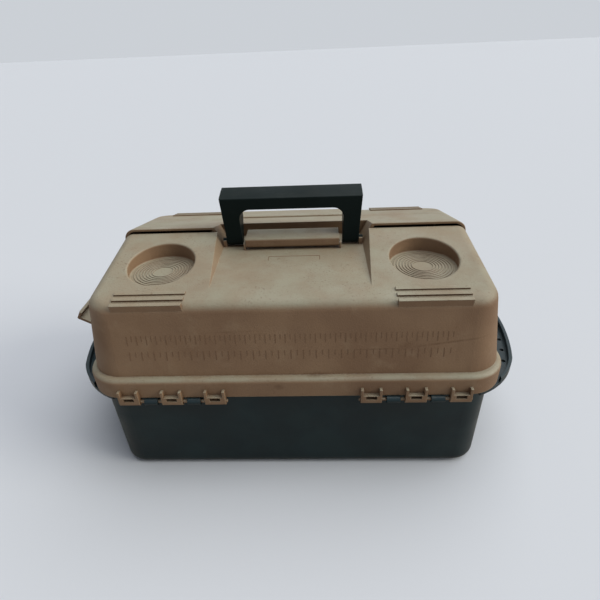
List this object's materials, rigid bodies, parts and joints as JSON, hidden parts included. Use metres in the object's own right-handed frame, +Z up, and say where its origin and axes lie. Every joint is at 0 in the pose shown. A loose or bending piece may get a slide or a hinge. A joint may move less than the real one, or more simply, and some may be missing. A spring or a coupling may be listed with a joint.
{
  "type": "tackle box",
  "caption": "Hip-roof tackle box: green base tub, two tan lids that open outward from a ridge, cantilever trays on swinging arms, a folding carry handle and latches.",
  "frame": {"origin": "on the floor, under the middle of the base tub", "axes": "+X along the box to its right end, +Y from the front lid to the rear lid, +Z up"},
  "size_m": [0.5398, 0.3034, 0.29],
  "materials": {
    "green_plastic": "satin",
    "tan_plastic": "matte",
    "tray_plastic": "satin",
    "divider_plastic": "satin",
    "arm_plastic": "satin",
    "steel": "brushed"
  },
  "bodies": {
    "base": {"base_tub": "green_plastic", "front_hinge_pin_left": "tan_plastic", "front_hinge_pin_right": "tan_plastic", "front_base_rivets": "steel", "rear_hinge_pin_left": "tan_plastic", "rear_hinge_pin_right": "tan_plastic", "rear_base_rivets": "steel", "end_latch_pin_left": "steel", "end_latch_pin_right": "steel"},
    "front_lid": {"front_lid": "tan_plastic", "handle_pin_left": "green_plastic", "handle_pin_right": "green_plastic", "top_latch_pin": "steel"},
    "rear_lid": {"rear_lid": "tan_plastic"},
    "carry_handle": {"carry_handle": "green_plastic"},
    "top_latch": {"top_latch": "tan_plastic"},
    "left_end_latch": {"left_end_latch": "tan_plastic"},
    "right_end_latch": {"right_end_latch": "tan_plastic"},
    "front_outer_arms": {"front_outer_arm_left": "arm_plastic", "front_outer_arm_right": "arm_plastic"},
    "front_inner_arms": {"front_inner_arm_left": "arm_plastic", "front_inner_arm_right": "arm_plastic"},
    "front_tray_1": {"front_tray_1": "tray_plastic", "front_tray_1_dividers": "divider_plastic", "front_tray_1_rivets": "steel"},
    "front_tray_2": {"front_tray_2": "tray_plastic", "front_tray_2_dividers": "divider_plastic", "front_tray_2_rivets": "steel"},
    "front_tray_3": {"front_tray_3": "tray_plastic", "front_tray_3_dividers": "divider_plastic", "front_tray_3_rivets": "steel"},
    "rear_outer_arms": {"rear_outer_arm_left": "arm_plastic", "rear_outer_arm_right": "arm_plastic"},
    "rear_inner_arms": {"rear_inner_arm_left": "arm_plastic", "rear_inner_arm_right": "arm_plastic"},
    "rear_tray_1": {"rear_tray_1": "tray_plastic", "rear_tray_1_dividers": "divider_plastic", "rear_tray_1_rivets": "steel"},
    "rear_tray_2": {"rear_tray_2": "tray_plastic", "rear_tray_2_dividers": "divider_plastic", "rear_tray_2_rivets": "steel"},
    "rear_tray_3": {"rear_tray_3": "tray_plastic", "rear_tray_3_dividers": "divider_plastic", "rear_tray_3_rivets": "steel"}
  },
  "joints": [
    {"name": "front_lid_hinge", "type": "hinge", "parent": "base", "child": "front_lid", "pos_m": [0, -0.1477, 0.1135], "axis": [1, 0, 0], "range_deg": [0, 150]},
    {"name": "front_outer_arms_swing", "type": "hinge", "parent": "base", "child": "front_outer_arms", "pos_m": [0, -0.118, 0.108], "axis": [1, 0, 0], "range_deg": [0, 75]},
    {"name": "front_inner_arms_swing", "type": "hinge", "parent": "base", "child": "front_inner_arms", "pos_m": [0, -0.084, 0.108], "axis": [1, 0, 0], "range_deg": [0, 75]},
    {"name": "front_tray_1_pivot", "type": "hinge", "parent": "front_outer_arms", "child": "front_tray_1", "pos_m": [0, -0.09786, 0.132], "axis": [1, 0, 0], "range_deg": [-75, 0]},
    {"name": "front_tray_2_pivot", "type": "hinge", "parent": "front_outer_arms", "child": "front_tray_2", "pos_m": [0, -0.07353, 0.161], "axis": [1, 0, 0], "range_deg": [-75, 0]},
    {"name": "front_tray_3_pivot", "type": "hinge", "parent": "front_outer_arms", "child": "front_tray_3", "pos_m": [0, -0.0492, 0.19], "axis": [1, 0, 0], "range_deg": [-75, 0]},
    {"name": "rear_lid_hinge", "type": "hinge", "parent": "base", "child": "rear_lid", "pos_m": [0, 0.1477, 0.1135], "axis": [-1, 0, 0], "range_deg": [0, 150]},
    {"name": "rear_outer_arms_swing", "type": "hinge", "parent": "base", "child": "rear_outer_arms", "pos_m": [0, 0.118, 0.108], "axis": [-1, 0, 0], "range_deg": [0, 75]},
    {"name": "rear_inner_arms_swing", "type": "hinge", "parent": "base", "child": "rear_inner_arms", "pos_m": [0, 0.084, 0.108], "axis": [-1, 0, 0], "range_deg": [0, 75]},
    {"name": "rear_tray_1_pivot", "type": "hinge", "parent": "rear_outer_arms", "child": "rear_tray_1", "pos_m": [0, 0.09786, 0.132], "axis": [-1, 0, 0], "range_deg": [-75, 0]},
    {"name": "rear_tray_2_pivot", "type": "hinge", "parent": "rear_outer_arms", "child": "rear_tray_2", "pos_m": [0, 0.07353, 0.161], "axis": [-1, 0, 0], "range_deg": [-75, 0]},
    {"name": "rear_tray_3_pivot", "type": "hinge", "parent": "rear_outer_arms", "child": "rear_tray_3", "pos_m": [0, 0.0492, 0.19], "axis": [-1, 0, 0], "range_deg": [-75, 0]},
    {"name": "handle_fold", "type": "hinge", "parent": "front_lid", "child": "carry_handle", "pos_m": [0, -0.00725, 0.234], "axis": [1, 0, 0], "range_deg": [0, 88]},
    {"name": "top_latch_flip", "type": "hinge", "parent": "front_lid", "child": "top_latch", "pos_m": [0, -0.0183, 0.2324], "axis": [1, 0, 0], "range_deg": [0, 90]},
    {"name": "left_end_latch_swing", "type": "hinge", "parent": "base", "child": "left_end_latch", "pos_m": [-0.2345, 0, 0.117], "axis": [0, 1, 0], "range_deg": [0, 59]},
    {"name": "right_end_latch_swing", "type": "hinge", "parent": "base", "child": "right_end_latch", "pos_m": [0.2345, 0, 0.117], "axis": [0, 1, 0], "range_deg": [0, 59]}
  ],
  "couplings": [
    {"joint": "front_outer_arms_swing", "follows": "front_lid_hinge", "ratio": 0.5},
    {"joint": "front_inner_arms_swing", "follows": "front_lid_hinge", "ratio": 0.5},
    {"joint": "front_tray_1_pivot", "follows": "front_lid_hinge", "ratio": -0.5},
    {"joint": "front_tray_2_pivot", "follows": "front_lid_hinge", "ratio": -0.5},
    {"joint": "front_tray_3_pivot", "follows": "front_lid_hinge", "ratio": -0.5},
    {"joint": "rear_outer_arms_swing", "follows": "rear_lid_hinge", "ratio": 0.5},
    {"joint": "rear_inner_arms_swing", "follows": "rear_lid_hinge", "ratio": 0.5},
    {"joint": "rear_tray_1_pivot", "follows": "rear_lid_hinge", "ratio": -0.5},
    {"joint": "rear_tray_2_pivot", "follows": "rear_lid_hinge", "ratio": -0.5},
    {"joint": "rear_tray_3_pivot", "follows": "rear_lid_hinge", "ratio": -0.5}
  ]
}
